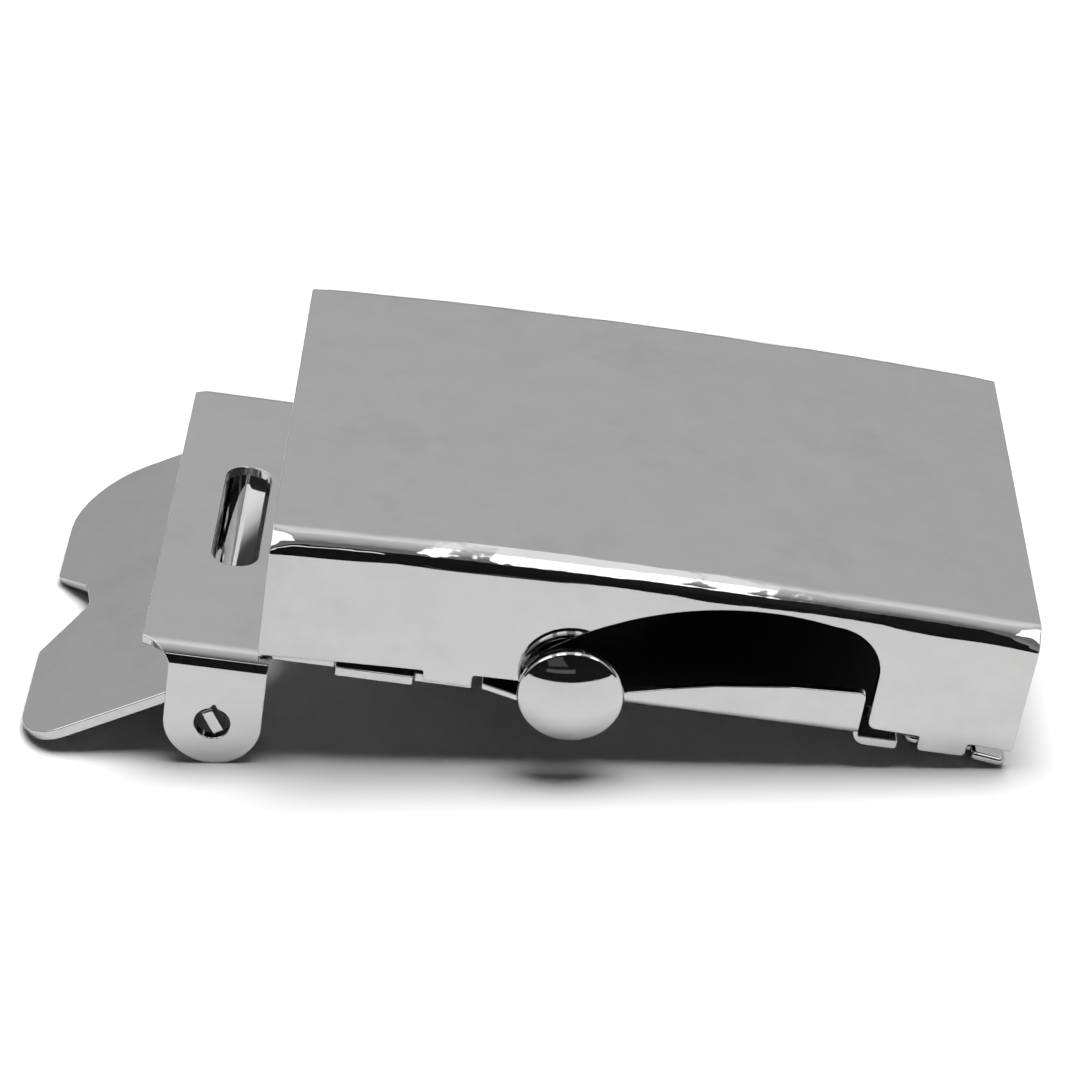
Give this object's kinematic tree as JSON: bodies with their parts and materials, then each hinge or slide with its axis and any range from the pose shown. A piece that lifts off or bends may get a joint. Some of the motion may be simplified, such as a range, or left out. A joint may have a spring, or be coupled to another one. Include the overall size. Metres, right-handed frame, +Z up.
{
  "type": "ratchet belt buckle",
  "caption": "Ratchet belt buckle: bent sheet case with finger window, sprung pawl lever with knob, and a hinged toothed clamp for the strap's cut end.",
  "frame": {"origin": "on the surface that the buckle lies on, under the middle of its outline", "axes": "+X along the belt from the clamp to the strap entry, +Y across the belt away from the knob, +Z up; the face points up and leans towards +X by about eight degrees, as the buckle lies on its ears"},
  "size_m": [0.081, 0.0438, 0.0216],
  "materials": {
    "case": "bright nickel plate",
    "clamp": "bright nickel plate",
    "release": "bright nickel plate",
    "knob": "polished nickel plate",
    "inner_steel": "drawn steel wire"
  },
  "bodies": {
    "frame": {"case": "case", "clamp_plate": "clamp", "entry_lip": "case", "lever_pin": "inner_steel"},
    "clamp": {"clamp_lever": "clamp"},
    "release": {"release_lever": "release", "release_knob": "knob", "lever_spring": "inner_steel"}
  },
  "joints": [
    {"name": "clamp_pivot", "type": "hinge", "parent": "frame", "child": "clamp", "pos_m": [-0.02437, 0.00137, 0.0039], "axis": [0, 1, 0], "range_deg": [-58, 30.5]},
    {"name": "release_pivot", "type": "hinge", "parent": "frame", "child": "release", "pos_m": [0.00947, 0.01897, 0.00778], "axis": [0.9892, 0, -0.1467], "range_deg": [0, 6.5], "stiffness_Nm_per_rad": 0.6, "springref_deg": -5.73}
  ]
}
